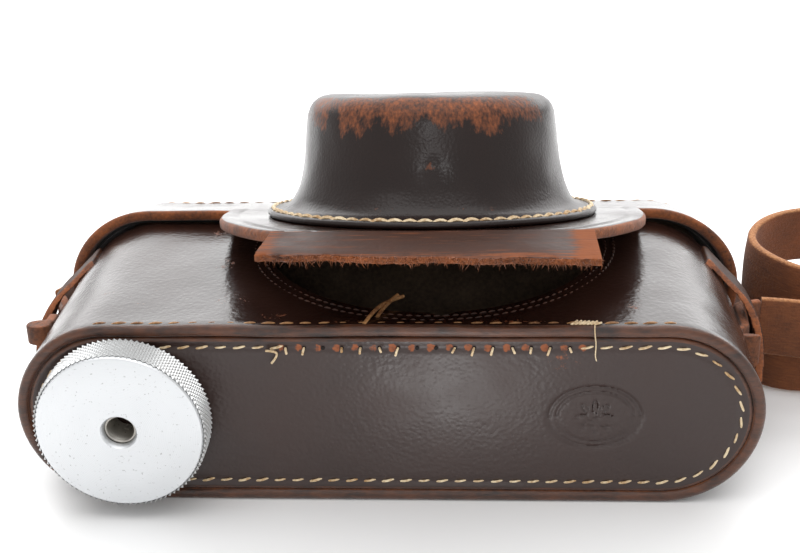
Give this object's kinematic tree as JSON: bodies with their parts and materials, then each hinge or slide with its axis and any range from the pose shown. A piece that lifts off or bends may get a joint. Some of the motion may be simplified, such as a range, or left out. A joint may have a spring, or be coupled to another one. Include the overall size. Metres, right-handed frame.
{
  "type": "leather ever ready camera case",
  "caption": "Leather ever ready case with a lower half, a hinged top cover with lens snout, a captive tripod screw knob and a neck strap.",
  "frame": {"origin": "centre of the flat back wall of the lower half case, on the surface it lies on", "axes": "+X along the case's width, +Y from the bottom panel to the top cover, +Z from the back wall to the front"},
  "size_m": [0.2714, 0.1449, 0.0765],
  "materials": {
    "glazed_leather": "glazed, scuffed",
    "suede": "rough flesh side",
    "strap_leather": "worn",
    "lining": "dark felt",
    "board": "fibre board",
    "thread": "waxed linen",
    "knob_aluminium": "satin turned",
    "screw_steel": "turned",
    "brass": "tarnished"
  },
  "bodies": {
    "half_case": {"half_case_wall": "glazed_leather", "half_case_lining": "lining", "bottom_panel": "glazed_leather", "bottom_board": "board", "bottom_lining": "lining", "bottom_seam_thread": "thread", "wall_seam_thread": "thread", "opening_facing": "suede", "opening_thread": "thread", "left_keeper": "strap_leather", "right_keeper": "strap_leather", "strap_end_left": "strap_leather", "strap_end_right": "strap_leather", "neck_strap": "strap_leather", "screw_eyelet": "brass", "stud_patch": "suede", "stud_post": "brass"},
    "screw_washer": {"captive_washer": "board"},
    "knob": {"knob": "knob_aluminium", "fixing_screw": "screw_steel"},
    "back_flap": {"back_flap": "glazed_leather", "stud_cap": "brass"},
    "cover": {"cover_wall": "glazed_leather", "cover_lining": "lining", "top_panel": "glazed_leather", "top_board": "board", "top_seam_thread": "thread", "front_flap": "glazed_leather", "snout": "glazed_leather", "snout_lining": "lining", "snout_thread": "thread", "back_flap_root": "glazed_leather"}
  },
  "joints": [
    {"name": "cover_hinge", "type": "hinge", "parent": "half_case", "child": "cover", "pos_m": [0, 0.0292, 0.00195], "axis": [-1, 0, 0], "range_deg": [0, 90]},
    {"name": "back_flap_bend", "type": "hinge", "parent": "half_case", "child": "back_flap", "pos_m": [0, 0.0292, 0.00195], "axis": [1, 0, 0], "range_deg": [0, 70]},
    {"name": "screw_travel", "type": "slide", "parent": "half_case", "child": "screw_washer", "axis": [0, -1, 0], "range_m": [0, 0.005]},
    {"name": "knob_turn", "type": "hinge", "parent": "screw_washer", "child": "knob", "pos_m": [-0.0514, -0.03, 0.0204], "axis": [0, -1, 0], "continuous": true}
  ]
}
